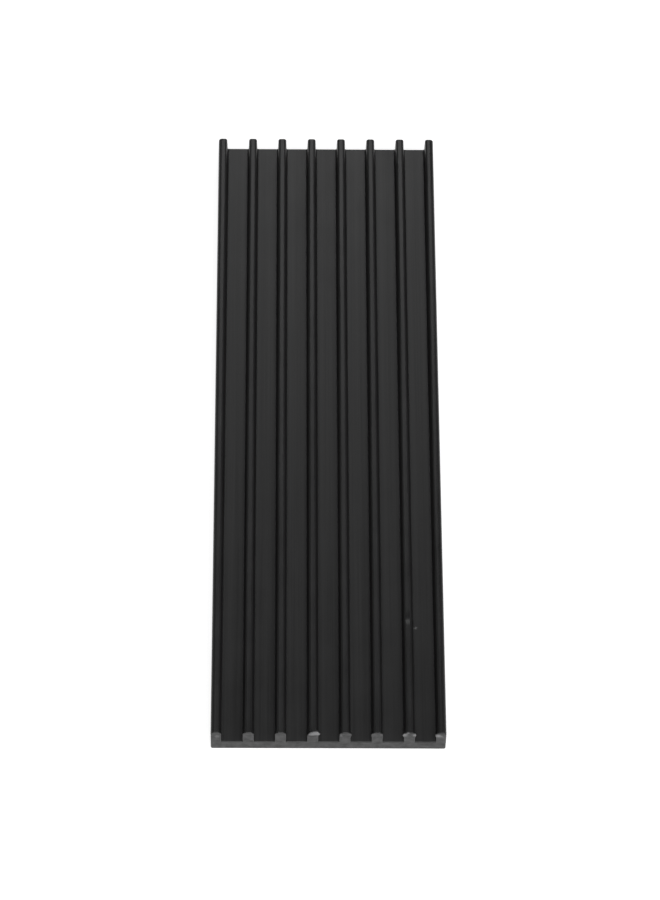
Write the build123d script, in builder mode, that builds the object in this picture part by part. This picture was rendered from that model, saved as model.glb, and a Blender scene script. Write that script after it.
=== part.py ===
from build123d import *
import os
from math import cos, radians, sin, tan

# Heat sink of a solid state drive: one extruded bar of aluminium, sawn to length and black anodised.
# A flat base carries upright fins that run its whole length, with an open channel between each two.
# Millimetres and degrees. The fins run along Y, the underside lies on Z = 0, the origin is at its middle.

# Overall size
length = 70.0
width = 22.0
height = 3.0

# Extruded profile
base_thickness = 1.3
fin_count = 8
fin_tip_width = 0.8
outer_fin_width = 0.865
fin_draft = 1.5
tip_radius = 0.26
outer_tip_radius = 0.35
root_radius = 0.2
base_edge_radius = 0.18

# Sawn ends
end_break = 0.1

# Flare where the saw has spread the near end of each fin
flare_width = 1.18
flare_length = 0.22
flare_taper = 42.0
flare_corner_radius = 0.26

# Dent that something round has pressed into the crest of one fin
dent_length = 1.2
dent_depth = 0.08
dent_from_near_end = 12.5
dented_fin_from_right = 2

# Chip where the crest of another fin meets the near end, deeper on its left
chip_back = 0.1
chip_down = 0.31
chip_tilt = 32.0
chipped_fin_from_left = 4

# What follows from these sizes
fin_height = height - base_thickness
channel_mouth = (width - 2 * outer_fin_width - (fin_count - 2) * fin_tip_width) / (fin_count - 1)
channel_floor = channel_mouth - 2 * fin_height * tan(radians(fin_draft))
fin_pitch = channel_mouth + fin_tip_width
right_fin_x = (fin_count - 1) / 2 * fin_pitch
near_end_y = -length / 2
dent_radius = (dent_length**2 / 4 + dent_depth**2) / (2 * dent_depth)
dent_place = (
    right_fin_x - (dented_fin_from_right - 1) * fin_pitch,
    near_end_y + dent_from_near_end,
    height - dent_depth + dent_radius,
)
flare_foot = base_thickness / 2
flare_height = height - end_break - flare_foot
chip_x = -right_fin_x + (chipped_fin_from_left - 1) * fin_pitch
chip_wedge_rise = flare_width
chip_wedge_back = chip_back * (1 + chip_wedge_rise / chip_down)
chip_plane = Plane(
    origin=(chip_x, near_end_y, height),
    x_dir=(0, 1, 0),
    z_dir=(cos(radians(chip_tilt)), 0, sin(radians(chip_tilt))),
)

# Each rounding is limited by the wall that it lies on
tip_fillet = min(tip_radius, 0.45 * fin_tip_width)
outer_tip_fillet = min(outer_tip_radius, 0.45 * outer_fin_width)
root_fillet = min(root_radius, 0.45 * channel_floor)
base_fillet = min(base_edge_radius, 0.45 * base_thickness)
flare_fillet = min(flare_corner_radius, 0.45 * flare_width)


with BuildPart() as heat_sink:
    # The profile, seen along the fins: a plain block with a tapered channel taken out between each two
    with BuildSketch(Plane.XZ) as profile:
        Rectangle(width, height, align=(Align.CENTER, Align.MIN))
        with Locations((0, height)):
            with GridLocations(fin_pitch, 0, fin_count - 1, 1):
                Trapezoid(
                    channel_mouth,
                    fin_height,
                    90 + fin_draft,
                    align=(Align.CENTER, Align.MAX),
                    mode=Mode.SUBTRACT,
                )
        crest_corners = profile.vertices().group_by(Axis.Y)[-1].sort_by(Axis.X)
        fillet(crest_corners[1:-1], tip_fillet)
        crest_corners = profile.vertices().group_by(Axis.Y)[-1].sort_by(Axis.X)
        fillet([crest_corners[0], crest_corners[-1]], outer_tip_fillet)
        root_corners = profile.vertices().group_by(Axis.Y)[1]
        fillet(root_corners, root_fillet)
        base_corners = profile.vertices().group_by(Axis.Y)[0]
        fillet(base_corners, base_fillet)
    extrude(amount=length / 2, both=True)

    # Both sawn ends have their sharp edges broken all round
    sawn_ends = heat_sink.faces().filter_by(Axis.Y)
    chamfer(sawn_ends.edges(), end_break)

    # The flares start in the base, taper back into their fins and stay clear of the bar's outer corners
    with BuildSketch(Plane.XZ.offset(-near_end_y)) as flares:
        with Locations((0, flare_foot)):
            with GridLocations(fin_pitch, 0, fin_count, 1):
                Rectangle(flare_width, flare_height, align=(Align.CENTER, Align.MIN))
        fillet(flares.vertices().group_by(Axis.Y)[-1], flare_fillet)
        Rectangle(
            width - 2 * outer_tip_fillet,
            height,
            align=(Align.CENTER, Align.MIN),
            mode=Mode.INTERSECT,
        )
    extrude(amount=-flare_length, taper=flare_taper)

    # The dent is the shallow print of a ball
    with Locations(dent_place):
        Sphere(dent_radius, mode=Mode.SUBTRACT)

    # The chip leaves a slanted facet in place of the corner, and its wedge runs out well past the crest
    with BuildSketch(chip_plane):
        with BuildLine():
            Polyline(
                (0, -chip_down),
                (chip_wedge_back, chip_wedge_rise),
                (0, chip_wedge_rise),
                close=True,
            )
        make_face()
    extrude(amount=flare_width, both=True, mode=Mode.SUBTRACT)

heat_sink.part.label = "heat_sink"

os.makedirs("parts", exist_ok=True)
export_step(heat_sink.part, "parts/heat_sink.step")
print("volume", round(heat_sink.part.volume, 3), "valid", heat_sink.part.is_valid)
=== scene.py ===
import math

import bpy
import numpy as np
from mathutils import Matrix, Vector


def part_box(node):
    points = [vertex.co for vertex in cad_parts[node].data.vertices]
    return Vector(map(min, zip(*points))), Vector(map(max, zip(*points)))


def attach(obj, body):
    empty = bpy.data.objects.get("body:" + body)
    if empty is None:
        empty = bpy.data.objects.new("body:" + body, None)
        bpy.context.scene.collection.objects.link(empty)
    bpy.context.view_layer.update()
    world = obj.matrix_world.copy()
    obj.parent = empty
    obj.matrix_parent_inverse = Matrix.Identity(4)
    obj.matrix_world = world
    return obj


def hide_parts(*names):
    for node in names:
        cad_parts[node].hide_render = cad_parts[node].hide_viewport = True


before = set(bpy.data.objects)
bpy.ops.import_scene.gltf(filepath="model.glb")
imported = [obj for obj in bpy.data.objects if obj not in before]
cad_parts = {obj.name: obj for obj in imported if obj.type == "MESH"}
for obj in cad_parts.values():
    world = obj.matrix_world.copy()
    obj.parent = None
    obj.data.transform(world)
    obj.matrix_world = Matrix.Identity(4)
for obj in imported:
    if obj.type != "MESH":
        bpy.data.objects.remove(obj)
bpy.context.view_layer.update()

MM = 0.001

# The bar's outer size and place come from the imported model
low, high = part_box("heat_sink")
width = high.x - low.x
height = high.z
near_end = low.y
far_end = high.y

# Its profile, as in the part's source apart from tighter roots
fin_count = 8
base_thickness = 1.3 * MM
fin_tip_width = 0.8 * MM
outer_fin_width = 0.865 * MM
fin_draft = math.radians(1.5)
tip_radius = 0.26 * MM
outer_tip_radius = 0.35 * MM
root_radius = 0.14 * MM
base_edge_radius = 0.18 * MM
channel_mouth = (width - 2 * outer_fin_width - (fin_count - 2) * fin_tip_width) / (fin_count - 1)
fin_pitch = channel_mouth + fin_tip_width

# How far all fins but the first stand to the right of even places
fin_shift = 0.04 * MM

# How finely each stretch of the profile is divided
tip_steps = 7
root_steps = 6
wall_steps = 8
crest_steps = 3
floor_steps = 8
side_steps = 3
corner_steps = 4

# How close to each end of a stretch its first point lies, to keep the edges crisp
seam = 0.03 * MM

# Sawn ends with their edges broken, from which the repeats of the profile grow further apart
end_break = 0.1 * MM
break_steps = 4
end_growth = 1.3
widest_station = 3.0 * MM

# Flare where the saw has spread the near end of each fin
flare_width = 1.18 * MM
flare_corner_radius = 0.26 * MM
flare_taper = math.radians(42)
flare_edge = 0.04 * MM

# Dent in the crest of the second fin from the right, with soft edges and swollen flanks
dented_fin = fin_count - 1
dent_depth = 0.053 * MM
dent_y = near_end + 12.5 * MM
dent_spread = 0.31 * MM
dent_reach = 0.5 * MM
dent_half_span = 1.2 * MM
dent_station = 0.06 * MM
swell_right = 0.12 * MM
swell_left = 0.06 * MM
swell_down = 0.45 * MM
swell_rise = 0.25 * MM
swell_nearer = 0.3 * MM
swell_spread = 0.4 * MM

# Lighter, partly metallic spot on the channel floor beside the dent
light_spot_across = 0.78 * MM
light_spot_y = dent_y - 0.08 * MM
light_spot_radius = 0.2 * MM
light_spot_share = 0.75

# Chip in the fourth fin at the near end, deeper on the left, with the crest bent over to the right
chipped_fin = 4
chip_back = 0.1 * MM
chip_down = 0.31 * MM
chip_tilt = math.radians(32)
chip_lean = 0.19 * MM
chip_lean_foot = height - 0.6 * MM
chip_lean_rise = 0.35 * MM
chip_reach = 0.6 * MM

# Burrs on the flares: fin, side (-1 left, 1 right), how far it stands out
saw_burrs = (
    (5, 1, 0.09 * MM),
    (6, -1, 0.05 * MM),
    (7, -1, 0.13 * MM),
    (7, 1, 0.09 * MM),
    (8, -1, 0.09 * MM),
)
burr_reach = 0.2 * MM
burr_foot = height - 0.85 * MM
burr_rise = 0.3 * MM

# Worn spots on the near end face, partly painted glints of light: fin, across from its middle, height,
# radius, how worn and bright
worn_and_glint_spots = (
    (1, 0.12 * MM, 2.28 * MM, 0.3 * MM, 0.62),
    (2, -0.16 * MM, 2.2 * MM, 0.2 * MM, 0.55),
    (4, -0.26 * MM, 2.64 * MM, 0.23 * MM, 1.0),
    (4, 0.06 * MM, 2.72 * MM, 0.24 * MM, 1.0),
    (4, 0.47 * MM, 2.89 * MM, 0.33 * MM, 1.5),
    (5, -0.34 * MM, 2.45 * MM, 0.2 * MM, 0.65),
    (6, -0.1 * MM, 2.45 * MM, 0.25 * MM, 0.45),
    (6, 0.42 * MM, 2.6 * MM, 0.2 * MM, 0.4),
    (7, -0.46 * MM, 2.58 * MM, 0.28 * MM, 1.0),
    (7, -0.16 * MM, 2.99 * MM, 0.24 * MM, 0.55),
    (7, 0.48 * MM, 2.6 * MM, 0.27 * MM, 1.0),
    (8, -0.36 * MM, 2.46 * MM, 0.29 * MM, 1.0),
    (8, 0.08 * MM, 2.3 * MM, 0.3 * MM, 0.4),
)
# How far along the bar the wear and painted glints reach from the near end
worn_and_glint_reach = 0.25 * MM


def fin_x(number):
    """The middle of a fin between its drafted sides. All but the first stand a little to the right."""
    even_x = (number - (fin_count + 1) / 2) * fin_pitch
    return even_x + (fin_shift if number > 1 else 0.0)


def smooth(share):
    """Eases a share from 0 to 1."""
    share = np.clip(share, 0, 1)
    return share * share * (3 - 2 * share)


def arc(centre_x, centre_z, radius, start, end, steps, bulge=1):
    """Points (x, z) on an arc with their outward normals. A hollow arc has a bulge of -1."""
    rows = []
    for angle in np.linspace(start, end, steps + 1):
        away = (math.cos(angle), math.sin(angle))
        rows.append((
            centre_x + radius * away[0],
            centre_z + radius * away[1],
            bulge * away[0],
            bulge * away[1],
        ))
    return rows


def between(start, end, steps, normal):
    """Points strictly between two places, one a seam away from each of them, the rest evenly spread."""
    (x0, z0), (x1, z1) = start, end
    share = seam / math.hypot(x1 - x0, z1 - z0)
    shares = [share, *np.linspace(0, 1, steps + 1)[1:-1], 1 - share]
    return [(x0 + (x1 - x0) * t, z0 + (z1 - z0) * t, *normal) for t in shares]


def tapered_side():
    """One side of a fin, from the middle of its crest out and down to the channel floor."""
    half = fin_tip_width / 2
    slope = math.tan(fin_draft)
    out_by = 1 / math.cos(fin_draft)
    wall = (math.cos(fin_draft), math.sin(fin_draft))
    tip_z = height - tip_radius
    tip_x = half + tip_radius * (slope - out_by)
    root_z = base_thickness + root_radius
    root_x = half + (height - root_z) * slope + root_radius * out_by
    tip = arc(tip_x, tip_z, tip_radius, math.pi / 2, fin_draft, tip_steps)
    root = arc(root_x, root_z, root_radius, math.pi + fin_draft, 1.5 * math.pi, root_steps, bulge=-1)
    crest = between((0, height), tip[0][:2], crest_steps, (0, 1))[1:]
    return crest + tip + between(tip[-1][:2], root[0][:2], wall_steps, wall) + root


def straight_side(half):
    """The outer side of the first or last fin: upright, its levels spread as on the other side."""
    tip_z = height - outer_tip_radius
    tip = arc(half - outer_tip_radius, tip_z, outer_tip_radius, math.pi / 2, 0, tip_steps)
    crest = between((0, height), tip[0][:2], crest_steps, (0, 1))[1:]
    above = crest + tip
    levels = [z - base_thickness for _, z, _, _ in tapered_side()[len(above):]]
    stretch = (tip_z - seam - base_thickness) / levels[0]
    below = [(half, base_thickness + level * stretch, 1, 0) for level in levels]
    return above + below


class Outline:
    """The closed profile as arrays, from the left foot over the fins and back along the base."""

    def __init__(self):
        self.rows = []
        self.feet = []
        self.top_line = []
        for number in range(1, fin_count + 1):
            self.add_fin(number)
            if number < fin_count:
                self.add_floor(number)
        # The outermost two feet stand on the bar's own sides
        self.top_line = self.top_line[1:-1]
        self.add_base()
        columns = np.array(self.rows).T
        self.x, self.z, self.normal_x, self.normal_z, self.fin, self.local_x = columns
        self.count = len(self.rows)

    def add(self, x, z, normal_x, normal_z, fin=0, local_x=0.0):
        """Adds a point and returns its place in the outline. Fin 0 means that it is on none."""
        self.rows.append((x, z, normal_x, normal_z, fin, local_x))
        return len(self.rows) - 1

    def add_fin(self, number):
        centre = fin_x(number)
        left = straight_side(centre - low.x) if number == 1 else tapered_side()
        right = straight_side(high.x - centre) if number == fin_count else tapered_side()
        start = len(self.rows)
        for x, z, normal_x, normal_z in reversed(left):
            self.add(centre - x, z, -normal_x, normal_z, number, -x)
        self.add(centre, height, 0, 1, number, 0.0)
        for x, z, normal_x, normal_z in right:
            self.add(centre + x, z, normal_x, normal_z, number, x)
        end = len(self.rows) - 1
        self.feet.append((start, end))
        self.top_line += [start, end]

    def add_floor(self, number):
        start = self.rows[-1][0]
        half = tapered_side()[-1][0]
        end = fin_x(number + 1) - half
        for row in between((start, base_thickness), (end, base_thickness), floor_steps, (0, 1)):
            self.top_line.append(self.add(*row))

    def add_base(self):
        """The right side, the underside with a point below each one of the top line, the left side."""
        radius = base_edge_radius
        levels = np.linspace(base_thickness, radius, side_steps + 1)[1:-1]
        self.right_side = [self.add(high.x, z, 1, 0) for z in levels]
        corner = arc(high.x - radius, radius, radius, 0, -math.pi / 2, corner_steps)
        self.right_side += [self.add(*row) for row in corner]
        self.bottom_line = [self.add(self.rows[i][0], 0, 0, -1) for i in reversed(self.top_line)]
        self.bottom_line.reverse()
        corner = arc(low.x + radius, radius, radius, -math.pi / 2, -math.pi, corner_steps)
        self.left_side = [self.add(*row) for row in corner]
        self.left_side += [self.add(low.x, z, -1, 0) for z in reversed(levels)]


def end_distances():
    """How far from an end the profile is repeated, and how far its edge has drawn in there."""
    distances, insets = [], []
    for angle in np.linspace(0, math.pi / 2, break_steps + 1):
        distances.append(end_break * (1 - math.cos(angle)))
        insets.append(end_break * (1 - math.sin(angle)))
    step = seam
    while step < widest_station:
        distances.append(distances[-1] + step)
        insets.append(0.0)
        step *= end_growth
    return distances, insets


def stations():
    """Places along the bar where the profile is repeated, and the inset of each."""
    distances, insets = end_distances()
    near = [(near_end + d, inset) for d, inset in zip(distances, insets)]
    far = [(far_end - d, inset) for d, inset in zip(distances, insets)]
    middle = np.arange(near[-1][0] + widest_station, far[-1][0] - widest_station / 2, widest_station)
    dent = np.arange(dent_y - dent_half_span, dent_y + dent_half_span, dent_station)
    plain = [y for y in middle if abs(y - dent_y) > dent_half_span + dent_station]
    places = near + [(y, 0.0) for y in [*plain, *dent]] + far
    return np.array(sorted(places)).T


class Bar:
    """The profile repeated along the bar: arrays with a row per station and a column per point."""

    def __init__(self, outline):
        self.outline = outline
        self.rest_y, inset = stations()
        self.inset = inset[:, None]
        self.x = outline.x[None, :] - outline.normal_x[None, :] * self.inset
        self.z = outline.z[None, :] - outline.normal_z[None, :] * self.inset
        self.y = np.repeat(self.rest_y[:, None], outline.count, axis=1)
        self.from_near = self.y - near_end
        # Share of bare metal at each point; it also holds painted glints and the lighter floor spot
        self.bare = np.zeros_like(self.x)

    def spread_ends(self):
        """Each fin is spread sideways at the near end, but the bar's own sides stay straight."""
        outline = self.outline
        half = flare_width / 2 - flare_corner_radius
        arc_foot = height - end_break - flare_corner_radius
        above_arc = np.clip((self.z - arc_foot) / flare_corner_radius, 0, 1)
        reach = half + flare_corner_radius * np.sqrt(1 - above_arc**2)
        reach = reach - self.from_near * math.tan(flare_taper) - flare_edge * self.inset / end_break
        below_crest = self.z < height - end_break
        beside_crest = (outline.fin > 0) & (np.abs(outline.normal_x) > 0)
        inner = beside_crest & (np.abs(outline.x) < high.x - outer_tip_radius)
        side = np.sign(outline.local_x)[None, :]
        grow = np.clip(reach - np.abs(outline.local_x)[None, :], 0, None) * inner * below_crest
        self.x += side * grow

    def press_dent(self):
        """The crest is pressed down, its flanks are swollen and the floor beside it gets a lighter,
        partly metallic spot.
        """
        outline = self.outline
        on_fin = outline.fin == dented_fin
        along = self.y - dent_y
        top = smooth((outline.z - height + dent_reach) / dent_reach) * on_fin
        self.z -= dent_depth * top * np.exp(-0.5 * (along / dent_spread) ** 2)
        flank = np.exp(-(((outline.z - height + swell_down) / swell_rise) ** 2)) * on_fin
        aside = outline.local_x / (fin_tip_width / 2)
        swell = swell_right * np.clip(aside, 0, 1) - swell_left * np.clip(-aside, 0, 1)
        self.x += swell * flank * np.exp(-0.5 * ((along + swell_nearer) / swell_spread) ** 2)
        # Lighter, partly metallic spot on the floor beside the dent, through the bare metal share
        light_spot_x = fin_x(dented_fin) + light_spot_across
        away = ((self.x - light_spot_x) ** 2 + (self.y - light_spot_y) ** 2) / light_spot_radius**2
        self.bare += light_spot_share * np.exp(-away) * (self.z > 0)

    def chip_crest(self):
        """The crest's corner is knocked back to a slanted facet, and the rest leans to the right."""
        outline = self.outline
        on_fin = outline.fin == chipped_fin
        across = self.x - fin_x(chipped_fin)
        up = (self.z - height) * math.cos(chip_tilt) - across * math.sin(chip_tilt) + chip_down
        up = np.clip(up, 0, None) / chip_down * on_fin
        fade = np.clip(1 - self.from_near / chip_reach, 0, 1)
        self.y += chip_back * up * fade
        high_up = smooth((self.z - chip_lean_foot) / chip_lean_rise) * on_fin
        self.x += chip_lean * high_up * smooth(fade)

    def raise_burrs(self):
        """Burrs that the saw pushed out of the upper part of some fins."""
        outline = self.outline
        for fin, side, out in saw_burrs:
            where = (outline.fin == fin) * np.clip(side * outline.local_x / (fin_tip_width / 2), 0, 1)
            upper = smooth((outline.z - burr_foot) / burr_rise)
            fade = smooth(1 - self.from_near / burr_reach)
            lift = (where * upper)[None, :] * fade
            self.x += side * out * lift

    def wear_end_and_paint_glints(self):
        """The black is worn off in spots at the near end, and the same spots paint glints of light there.
        """
        self.bare += wear_and_glint_share(self.x, self.y, self.z)


def wear_and_glint_share(x, y, z):
    """How far the black is worn off at a place near the near end, partly as painted glints of light."""
    total = 0.0
    for fin, across, up, radius, share in worn_and_glint_spots:
        away = ((x - fin_x(fin) - across) ** 2 + (z - up) ** 2) / radius**2
        total = total + share * np.exp(-away)
    return total * smooth(1 - (y - near_end) / worn_and_glint_reach)


class EndFace:
    """The sawn face at one end. Above the base, each fin has a grid with points of its own inside."""

    def __init__(self, bar, station, first_index):
        self.outline = bar.outline
        self.base_index = station * bar.outline.count
        self.first_index = first_index
        self.rim = np.stack([bar.x[station], bar.y[station], bar.z[station]], axis=1)
        self.points = []
        self.faces = []
        self.foot_rows = {}
        for start, end in self.outline.feet:
            self.add_fin(start, end)
        self.add_base()

    def add_point(self, point):
        self.points.append(point)
        return self.first_index + len(self.points) - 1

    def add_fin(self, start, end):
        """Rows of points from the fin's foot up, each with as many as its crest, the last row, has."""
        crest_row = len(tapered_side()) - 1 - crest_steps
        crest = range(start + crest_row, end - crest_row + 1)
        shares = np.linspace(0, 1, len(crest))[1:-1]
        rows = []
        for k in range(crest_row):
            left, right = self.rim[start + k], self.rim[end - k]
            inner = [self.add_point(left + (right - left) * t) for t in shares]
            rows.append([self.base_index + start + k, *inner, self.base_index + end - k])
        rows.append([self.base_index + i for i in crest])
        self.foot_rows[start] = rows[0]
        for lower, upper in zip(rows, rows[1:]):
            for j in range(len(lower) - 1):
                self.faces.append((lower[j], lower[j + 1], upper[j + 1], upper[j]))

    def add_base(self):
        outline, shift = self.outline, self.base_index
        above, below = outline.top_line, outline.bottom_line
        for k in range(len(above) - 1):
            top = self.foot_rows.get(above[k], [shift + above[k], shift + above[k + 1]])
            self.faces.append((shift + below[k], shift + below[k + 1], *reversed(top)))
        left = [*reversed(outline.left_side), below[0], above[0]]
        right = [above[-1], below[-1], *reversed(outline.right_side)]
        self.faces.append((shift + outline.feet[0][0], *[shift + i for i in left]))
        self.faces.append((shift + outline.feet[-1][1], *[shift + i for i in right]))


# Space around the pieces of the flat map
map_gap = 0.5 * MM


def bar_mesh(bar):
    """Joins the stations with faces, closes both ends and lays the surface out flat as a map."""
    outline = bar.outline
    rows, columns = bar.x.shape
    points = np.stack([bar.x, bar.y, bar.z], axis=2).reshape(-1, 3)
    faces = []
    for row in range(rows - 1):
        for column in range(columns):
            after = (column + 1) % columns
            base, above = row * columns, (row + 1) * columns
            faces.append((base + column, base + after, above + after, above + column))
    side_faces = len(faces)
    near_face = EndFace(bar, 0, len(points))
    far_face = EndFace(bar, rows - 1, len(points) + len(near_face.points))
    faces += near_face.faces
    faces += [tuple(reversed(face)) for face in far_face.faces]
    points = np.concatenate([points, near_face.points, far_face.points])
    mesh = bpy.data.meshes.new("heat_sink_bar")
    mesh.from_pydata(points.tolist(), [], faces)
    is_cap = np.arange(len(faces)) >= side_faces
    mesh.polygons.foreach_set("use_smooth", ~is_cap)
    mesh.polygons.foreach_set("material_index", is_cap.astype(np.int32))
    # Bare metal and painted glints, kept on the mesh for the finish to mix in
    bare = mesh.attributes.new("bare_metal_and_glint", "FLOAT", "POINT")
    inner_bare_and_glint = wear_and_glint_share(*points[bar.x.size:].T)
    worn = np.clip(np.concatenate([bar.bare.ravel(), inner_bare_and_glint]), 0, 1)
    bare.data.foreach_set("value", worn.astype(np.float32))
    lay_out_map(mesh, outline, side_faces)
    mesh.validate()
    mesh.update()
    return mesh


def lay_out_map(mesh, outline, side_faces):
    """A flat map: the profile unrolled across it, the length up it, and both end faces above."""
    steps = np.hypot(np.diff(outline.x, append=outline.x[0]), np.diff(outline.z, append=outline.z[0]))
    unrolled = np.concatenate([[0], np.cumsum(steps)])
    side = max(unrolled[-1], far_end - near_end + height + seam)
    layer = mesh.uv_layers.new(name="OFBake")
    across = np.zeros((len(mesh.loops), 2))
    for polygon in mesh.polygons:
        columns = [mesh.loops[i].vertex_index % outline.count for i in polygon.loop_indices]
        wraps = polygon.index < side_faces and max(columns) - min(columns) > 1
        for loop, column in zip(polygon.loop_indices, columns):
            place = mesh.vertices[mesh.loops[loop].vertex_index].co
            if polygon.index < side_faces:
                turned = unrolled[-1] if wraps and column == 0 else unrolled[column]
                across[loop] = (turned, place.y - near_end)
            else:
                shift = map_gap if place.y < 0 else width + 3 * map_gap
                across[loop] = (place.x - low.x + shift, far_end - near_end + map_gap + place.z)
    across /= side + 2 * map_gap
    layer.data.foreach_set("uv", across.ravel())


# Colours of the finish, where it is darkest and lightest, and of bare metal, which also paints glints of
# light
anodised_dark = (0.010, 0.010, 0.0102)
anodised_light = (0.018, 0.018, 0.0184)
sawn_dark = (0.013, 0.013, 0.0132)
sawn_light = (0.034, 0.034, 0.0345)
worn_and_glint_grey = (0.24, 0.24, 0.243)

# Noises of the finish, in waves per metre, and the scale that draws some of them out along one axis
cloud_scale = 260
grain_scale = 14000
broad_line_scale = 1500
broad_line_draw = 0.008
die_line_scale = 6500
die_line_draw = 0.006
blotch_scale = 1600
blade_scale = 11000
blade_draw = 0.05
ragged_scale = 9000

# Most values of a noise lie between these
noise_low = 0.3
noise_high = 0.7

# How each noise tells in the colour, from its low to its high values
cloud_tone = (0, 0.3)
die_line_tone = (0, 0.4)
grain_tone = (0, 0.3)
blade_tone = (0, 0.5)
blotch_tone = (-0.2, 0.7)

# How it tells in the roughness and the shine
die_line_roughness = (0.38, 0.46)
cloud_roughness = (-0.03, 0.03)
blade_roughness = (0.42, 0.55)
broad_line_shine = (0.2, 0.29)
die_line_shine = (0.22, 0.29)
blotch_shine = (0.35, 0.65)

# Relief of each noise: its strength and its height
broad_line_relief = (0.5, 0.02 * MM)
die_line_relief = (0.8, 0.008 * MM)
grain_relief = (0.6, 0.004 * MM)
blade_relief = (0.8, 0.01 * MM)
sawn_grain_relief = (0.5, 0.005 * MM)

# How much smoother the fins' crests are than their feet, and the level at which that begins
crest_polish = 0.05
polish_foot = height - 2 * tip_radius

# Wear and painted glints: how ragged their edge is, where they begin and are complete, and how metallic
# they look
ragged_edge = (-0.2, 0.2)
wear_and_glint_start = 0.3
wear_and_glint_full = 0.9
wear_and_glint_metallic = 0.4
coating_ior = 1.5

# Places of the colour sockets on a mix node
mix_inputs = (6, 7)
mix_result = 2


def add_node(tree, kind, inputs=None, **settings):
    """A shader node with its settings and unlinked input values."""
    node = tree.nodes.new(kind)
    for name, value in settings.items():
        setattr(node, name, value)
    for name, value in (inputs or {}).items():
        node.inputs[name].default_value = value
    return node


def empty_material(name):
    material = bpy.data.materials.new(name)
    material.use_nodes = True
    material.node_tree.nodes.clear()
    return material


def noise_along(tree, scale, stretch=(1, 1, 1), detail=2.0, roughness=0.5):
    """Noise in the object's coordinates, in metres. A stretch under 1 draws it out along that axis."""
    place = add_node(tree, "ShaderNodeTexCoord")
    mapping = add_node(tree, "ShaderNodeMapping", {"Scale": stretch})
    tree.links.new(place.outputs["Object"], mapping.inputs["Vector"])
    noise = add_node(
        tree,
        "ShaderNodeTexNoise",
        {"Scale": scale, "Detail": detail, "Roughness": roughness},
    )
    tree.links.new(mapping.outputs["Vector"], noise.inputs["Vector"])
    return noise.outputs["Fac"]


def level_above_floor(tree):
    """How high a place on the bar is, in metres."""
    place = add_node(tree, "ShaderNodeTexCoord")
    parts = add_node(tree, "ShaderNodeSeparateXYZ")
    tree.links.new(place.outputs["Object"], parts.inputs["Vector"])
    return parts.outputs["Z"]


def spread(tree, value, low_out, high_out, low_in=noise_low, high_in=noise_high):
    """Spreads a value from one range to another."""
    node = add_node(
        tree,
        "ShaderNodeMapRange",
        {"From Min": low_in, "From Max": high_in, "To Min": low_out, "To Max": high_out},
    )
    tree.links.new(value, node.inputs["Value"])
    return node.outputs["Result"]


def calculate(tree, operation, first, second):
    """Two values, either of them a socket or a number, put through a math node."""
    node = add_node(tree, "ShaderNodeMath", operation=operation)
    for slot, value in zip(node.inputs, (first, second)):
        if isinstance(value, (int, float)):
            slot.default_value = value
        else:
            tree.links.new(value, slot)
    return node.outputs["Value"]


def mix_colors(tree, share, first, second):
    """Two colours, either of them a socket or a tuple, mixed by a share."""
    node = add_node(tree, "ShaderNodeMix", data_type="RGBA")
    tree.links.new(share, node.inputs["Factor"])
    for index, value in zip(mix_inputs, (first, second)):
        slot = node.inputs[index]
        if isinstance(value, tuple):
            slot.default_value = (*value, 1)
        else:
            tree.links.new(value, slot)
    return node.outputs[mix_result]


def bump(tree, height_value, strength, distance, normal=None):
    """Relief, on top of what another bump has made."""
    node = add_node(tree, "ShaderNodeBump", {"Strength": strength, "Distance": distance})
    tree.links.new(height_value, node.inputs["Height"])
    if normal is not None:
        tree.links.new(normal, node.inputs["Normal"])
    return node.outputs["Normal"]


def finish_shader(tree, colour, roughness, shine, normal):
    """The anodised surface, worn through to bare metal where the mesh's own attribute says so. The same
    attribute paints glints of light as lighter, partly metallic grey.
    """
    worn = add_node(tree, "ShaderNodeAttribute", attribute_name="bare_metal_and_glint")
    ragged = spread(tree, noise_along(tree, ragged_scale, detail=3), *ragged_edge)
    share = calculate(tree, "ADD", worn.outputs["Fac"], ragged)
    share = spread(tree, share, 0, 1, wear_and_glint_start, wear_and_glint_full)
    shader = add_node(tree, "ShaderNodeBsdfPrincipled", {"IOR": coating_ior})
    # Grey metal for wear and for painted glints
    worn_and_glint_colour = mix_colors(tree, share, colour, worn_and_glint_grey)
    tree.links.new(worn_and_glint_colour, shader.inputs["Base Color"])
    tree.links.new(calculate(tree, "MULTIPLY", share, wear_and_glint_metallic), shader.inputs["Metallic"])
    tree.links.new(roughness, shader.inputs["Roughness"])
    tree.links.new(shine, shader.inputs["Specular IOR Level"])
    tree.links.new(normal, shader.inputs["Normal"])
    output = add_node(tree, "ShaderNodeOutputMaterial")
    tree.links.new(shader.outputs["BSDF"], output.inputs["Surface"])


def anodised_material():
    """Matte black anodising over an etched extrusion, with faint die lines along the bar."""
    material = empty_material("anodised_bar")
    tree = material.node_tree
    cloud = noise_along(tree, cloud_scale, detail=3)
    grain = noise_along(tree, grain_scale, detail=3, roughness=0.6)
    broad_lines = noise_along(tree, broad_line_scale, stretch=(1, broad_line_draw, 1), detail=2)
    die_lines = noise_along(tree, die_line_scale, stretch=(1, die_line_draw, 1), detail=3, roughness=0.65)
    tone = spread(tree, cloud, *cloud_tone)
    tone = calculate(tree, "ADD", tone, spread(tree, die_lines, *die_line_tone))
    tone = calculate(tree, "ADD", tone, spread(tree, grain, *grain_tone))
    colour = mix_colors(tree, tone, anodised_dark, anodised_light)
    roughness = spread(tree, die_lines, *die_line_roughness)
    roughness = calculate(tree, "ADD", roughness, spread(tree, cloud, *cloud_roughness))
    polish = spread(tree, level_above_floor(tree), 0, -crest_polish, polish_foot, height)
    roughness = calculate(tree, "ADD", roughness, polish)
    shine = spread(tree, broad_lines, *broad_line_shine)
    shine = calculate(tree, "ADD", shine, spread(tree, die_lines, *die_line_shine))
    normal = bump(tree, broad_lines, *broad_line_relief)
    normal = bump(tree, die_lines, *die_line_relief, normal)
    normal = bump(tree, grain, *grain_relief, normal)
    finish_shader(tree, colour, roughness, shine, normal)
    return material


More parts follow.
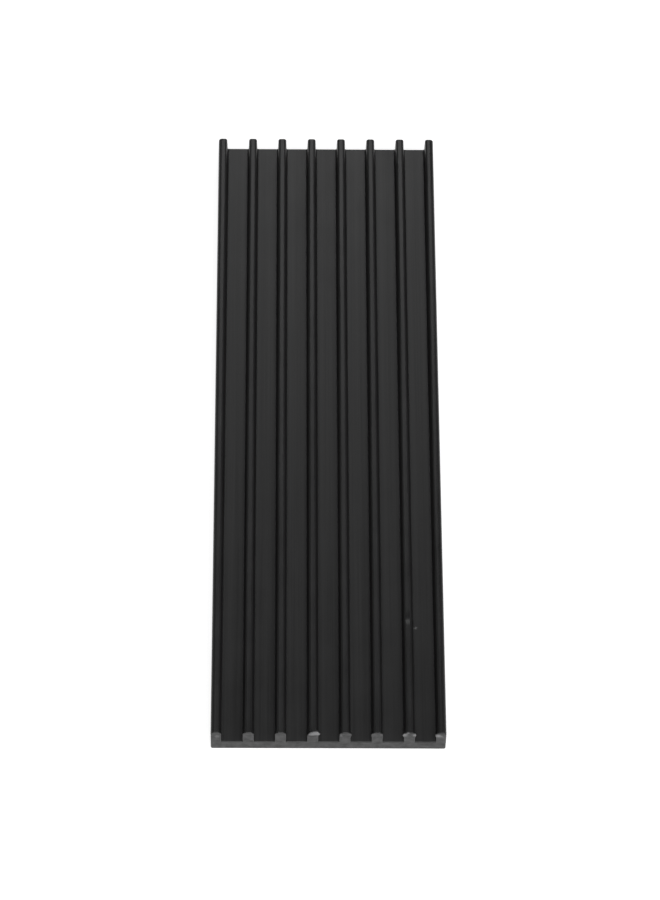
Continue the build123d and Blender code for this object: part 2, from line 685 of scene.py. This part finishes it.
def sawn_material():
    """Sawn end faces: anodised too, but rougher, lighter and mottled, with fine marks of the blade."""
    material = empty_material("anodised_sawn_end")
    tree = material.node_tree
    blotch = noise_along(tree, blotch_scale, detail=2)
    blade = noise_along(tree, blade_scale, stretch=(blade_draw, 1, 1), detail=3, roughness=0.65)
    grain = noise_along(tree, grain_scale, detail=3, roughness=0.6)
    tone = spread(tree, blade, *blade_tone)
    tone = calculate(tree, "ADD", tone, spread(tree, blotch, *blotch_tone))
    colour = mix_colors(tree, tone, sawn_dark, sawn_light)
    roughness = spread(tree, blade, *blade_roughness)
    shine = spread(tree, blotch, *blotch_shine)
    normal = bump(tree, blade, *blade_relief)
    normal = bump(tree, grain, *sawn_grain_relief, normal)
    finish_shader(tree, colour, roughness, shine, normal)
    return material


def build_bar():
    bar = Bar(Outline())
    bar.spread_ends()
    bar.press_dent()
    bar.chip_crest()
    bar.raise_burrs()
    bar.wear_end_and_paint_glints()
    piece = bpy.data.objects.new("heat_sink_bar", bar_mesh(bar))
    bpy.context.scene.collection.objects.link(piece)
    piece.data.materials.append(anodised_material())
    piece.data.materials.append(sawn_material())
    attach(piece, "root")
    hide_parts("heat_sink")


# The floor is lit as any pale surface, and shows white to the camera and in reflections
floor_radius = 4.0
floor_corners = 96
floor_colour = (0.6, 0.6, 0.6)
floor_white = 0.77


def build_floor():
    bpy.ops.mesh.primitive_circle_add(vertices=floor_corners, radius=floor_radius, fill_type="NGON")
    floor = bpy.context.object
    floor.name = "floor"
    material = empty_material("pale_floor")
    tree = material.node_tree
    lit = add_node(tree, "ShaderNodeBsdfDiffuse", {"Color": (*floor_colour, 1)})
    seen = add_node(tree, "ShaderNodeLightPath")
    white = calculate(tree, "MAXIMUM", seen.outputs["Is Camera Ray"], seen.outputs["Is Glossy Ray"])
    white = calculate(tree, "MAXIMUM", white, seen.outputs["Is Transmission Ray"])
    glow = add_node(tree, "ShaderNodeEmission", {"Color": (1, 1, 1, 1)})
    tree.links.new(calculate(tree, "MULTIPLY", white, floor_white), glow.inputs["Strength"])
    both = add_node(tree, "ShaderNodeAddShader")
    tree.links.new(lit.outputs["BSDF"], both.inputs[0])
    tree.links.new(glow.outputs["Emission"], both.inputs[1])
    output = add_node(tree, "ShaderNodeOutputMaterial")
    tree.links.new(both.outputs["Shader"], output.inputs["Surface"])
    floor.data.materials.append(material)


def add_softbox(name, azimuth, elevation, distance, size, power):
    """A soft lamp that faces the bar. Azimuth 0 is behind it, and 90 to its right."""
    turn, lift = math.radians(azimuth), math.radians(elevation)
    toward = Vector((math.sin(turn) * math.cos(lift), math.cos(turn) * math.cos(lift), math.sin(lift)))
    lamp = bpy.data.lights.new(name, "AREA")
    lamp.shape = "RECTANGLE"
    lamp.size, lamp.size_y = size
    lamp.energy = power
    holder = bpy.data.objects.new(name, lamp)
    holder.location = toward * distance
    holder.rotation_euler = toward.to_track_quat("Z", "Y").to_euler()
    bpy.context.scene.collection.objects.link(holder)


def build_light():
    world = bpy.data.worlds.new("studio")
    bpy.context.scene.world = world
    world.use_nodes = True
    background = world.node_tree.nodes["Background"]
    background.inputs["Color"].default_value = (1, 1, 1, 1)
    background.inputs["Strength"].default_value = 0.0
    add_softbox("back_softbox", azimuth=1, elevation=35, distance=1.0, size=(0.3, 0.4), power=2.1)
    add_softbox("front_softbox", azimuth=163, elevation=45, distance=1.0, size=(1.5, 1.0), power=11.7)
    for name, azimuth in (("right_softbox", 80), ("left_softbox", 280)):
        add_softbox(name, azimuth=azimuth, elevation=30, distance=1.0, size=(1.0, 0.6), power=0.6)


# The camera that the photograph's outline gives
camera_place = Vector((-5.133, -220.143, 329.325)) * MM
camera_aim = Vector((0.308, -1.389, 0.0)) * MM
camera_roll = math.radians(1.428)
camera_lens = 160.82
camera_sensor = 36


def build_camera():
    camera = bpy.data.cameras.new("camera")
    camera.lens = camera_lens
    camera.sensor_width = camera_sensor
    camera.clip_start = 0.01
    camera.clip_end = 20
    holder = bpy.data.objects.new("camera", camera)
    turn = (camera_aim - camera_place).to_track_quat("-Z", "Y").to_matrix()
    turn = turn @ Matrix.Rotation(camera_roll, 3, "Z")
    holder.matrix_world = Matrix.Translation(camera_place) @ turn.to_4x4()
    bpy.context.scene.collection.objects.link(holder)
    bpy.context.scene.camera = holder


build_camera()
build_bar()
build_floor()
build_light()
bpy.context.scene.view_settings.view_transform = "Standard"
